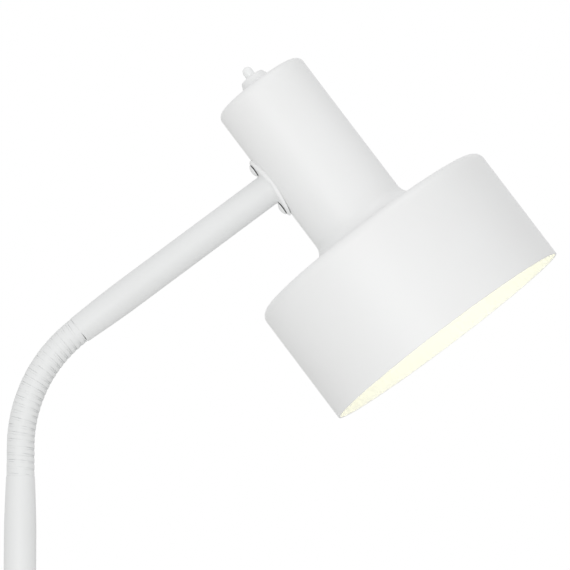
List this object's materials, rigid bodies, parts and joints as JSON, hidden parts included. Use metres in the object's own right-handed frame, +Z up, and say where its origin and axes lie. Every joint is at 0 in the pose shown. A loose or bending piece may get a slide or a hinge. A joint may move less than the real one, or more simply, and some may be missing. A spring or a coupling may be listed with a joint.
{
  "type": "floor lamp",
  "caption": "Floor lamp with a round weighted base, slim pole, ribbed bendable neck, short straight arm, and a drum-shaped head behind which a narrow cup carries a push switch.",
  "frame": {"origin": "centre of the base's underside, on the floor", "axes": "+Z up along the pole, +X from the pole towards the lamp head, Y across the lamp"},
  "size_m": [0.4406, 0.25, 1.3771],
  "materials": {
    "white_paint": "satin off-white paint",
    "pad_rubber": "matt black rubber",
    "cast_iron": "raw casting",
    "plain_steel": "turned steel",
    "zinc": "bright zinc plate",
    "brass": "plain brass",
    "white_plastic": "moulded white plastic",
    "holder_plastic": "moulded heat-proof plastic",
    "black_plastic": "moulded black plastic",
    "button_plastic": "gloss white plastic",
    "lead_plastic": "sleeved wire",
    "cap_metal": "plain metal cap",
    "opal_glass": "opal glass, lit warm"
  },
  "bodies": {
    "stand": {"base_pad": "pad_rubber", "base_weight": "cast_iron", "base_cover": "white_paint", "base_stud": "plain_steel", "base_washer": "zinc", "base_nut": "zinc", "cord_gland": "white_plastic", "foot_plug": "plain_steel", "pole_lower": "white_paint", "pole_coupler": "plain_steel", "pole_upper": "white_paint", "lower_plug": "plain_steel", "neck_base": "white_paint"},
    "neck_1": {"neck_link_01": "white_paint"},
    "neck_2": {"neck_link_02": "white_paint"},
    "neck_3": {"neck_link_03": "white_paint"},
    "neck_4": {"neck_link_04": "white_paint"},
    "neck_5": {"neck_link_05": "white_paint"},
    "neck_6": {"neck_link_06": "white_paint"},
    "neck_7": {"neck_link_07": "white_paint"},
    "neck_8": {"neck_link_08": "white_paint"},
    "neck_9": {"neck_link_09": "white_paint"},
    "neck_10": {"neck_link_10": "white_paint"},
    "neck_11": {"neck_link_11": "white_paint"},
    "head": {"neck_tip": "white_paint", "upper_plug": "plain_steel", "arm_tube": "white_paint", "arm_flange": "white_paint", "screw_washers": "black_plastic", "flange_screws": "white_paint", "head_shell": "white_paint", "holder_bracket": "zinc", "holder_nipple": "brass", "holder_nut": "zinc", "lampholder": "holder_plastic", "holder_shell": "brass", "holder_contact": "brass", "bulb_cap": "cap_metal", "bulb_globe": "opal_glass", "switch_body": "black_plastic", "switch_nut": "white_paint", "switch_leads": "lead_plastic"},
    "button": {"switch_button": "button_plastic"}
  },
  "joints": [
    {"name": "neck_bend", "type": "hinge", "parent": "stand", "child": "neck_1", "pos_m": [0, 0, 1.15092], "axis": [0, 1, 0], "range_deg": [-8.8, 7.5]},
    {"name": "neck_side", "type": "hinge", "parent": "neck_1", "child": "neck_2", "pos_m": [0.00051, 0, 1.15755], "axis": [0.9933, 0, -0.1157], "range_deg": [-7.5, 7.5]},
    {"name": "neck_bend_2", "type": "hinge", "parent": "neck_2", "child": "neck_3", "pos_m": [0.00154, 0, 1.16412], "axis": [0, 1, 0], "range_deg": [-8.8, 7.5]},
    {"name": "neck_side_2", "type": "hinge", "parent": "neck_3", "child": "neck_4", "pos_m": [0.00306, 0, 1.17059], "axis": [0.9636, 0, -0.2672], "range_deg": [-7.5, 7.5]},
    {"name": "neck_bend_3", "type": "hinge", "parent": "neck_4", "child": "neck_5", "pos_m": [0.00509, 0, 1.17693], "axis": [0, 1, 0], "range_deg": [-8.8, 7.5]},
    {"name": "neck_side_3", "type": "hinge", "parent": "neck_5", "child": "neck_6", "pos_m": [0.00759, 0, 1.18309], "axis": [0.911, 0, -0.4123], "range_deg": [-7.5, 7.5]},
    {"name": "neck_bend_4", "type": "hinge", "parent": "neck_6", "child": "neck_7", "pos_m": [0.01057, 0, 1.18903], "axis": [0, 1, 0], "range_deg": [-8.8, 7.5]},
    {"name": "neck_side_4", "type": "hinge", "parent": "neck_7", "child": "neck_8", "pos_m": [0.01399, 0, 1.19473], "axis": [0.8367, 0, -0.5477], "range_deg": [-7.5, 7.5]},
    {"name": "neck_bend_5", "type": "hinge", "parent": "neck_8", "child": "neck_9", "pos_m": [0.01784, 0, 1.20015], "axis": [0, 1, 0], "range_deg": [-8.8, 7.5]},
    {"name": "neck_side_5", "type": "hinge", "parent": "neck_9", "child": "neck_10", "pos_m": [0.0221, 0, 1.20526], "axis": [0.7424, 0, -0.6699], "range_deg": [-7.5, 7.5]},
    {"name": "neck_bend_6", "type": "hinge", "parent": "neck_10", "child": "neck_11", "pos_m": [0.02675, 0, 1.21002], "axis": [0, 1, 0], "range_deg": [-8.8, 7.5]},
    {"name": "neck_side_6", "type": "hinge", "parent": "neck_11", "child": "head", "pos_m": [0.03174, 0, 1.2144], "axis": [0.6305, 0, -0.7762], "range_deg": [-7.5, 7.5]},
    {"name": "button_press", "type": "slide", "parent": "head", "child": "button", "axis": [0.6, 0, -0.8], "range_m": [0, 0.0025], "stiffness_N_per_m": 400, "springref_m": -0.002}
  ],
  "couplings": [
    {"joint": "neck_bend_2", "follows": "neck_bend", "ratio": 1},
    {"joint": "neck_side_2", "follows": "neck_side", "ratio": 1},
    {"joint": "neck_bend_3", "follows": "neck_bend", "ratio": 1},
    {"joint": "neck_side_3", "follows": "neck_side", "ratio": 1},
    {"joint": "neck_bend_4", "follows": "neck_bend", "ratio": 1},
    {"joint": "neck_side_4", "follows": "neck_side", "ratio": 1},
    {"joint": "neck_bend_5", "follows": "neck_bend", "ratio": 1},
    {"joint": "neck_side_5", "follows": "neck_side", "ratio": 1},
    {"joint": "neck_bend_6", "follows": "neck_bend", "ratio": 1},
    {"joint": "neck_side_6", "follows": "neck_side", "ratio": 1}
  ]
}
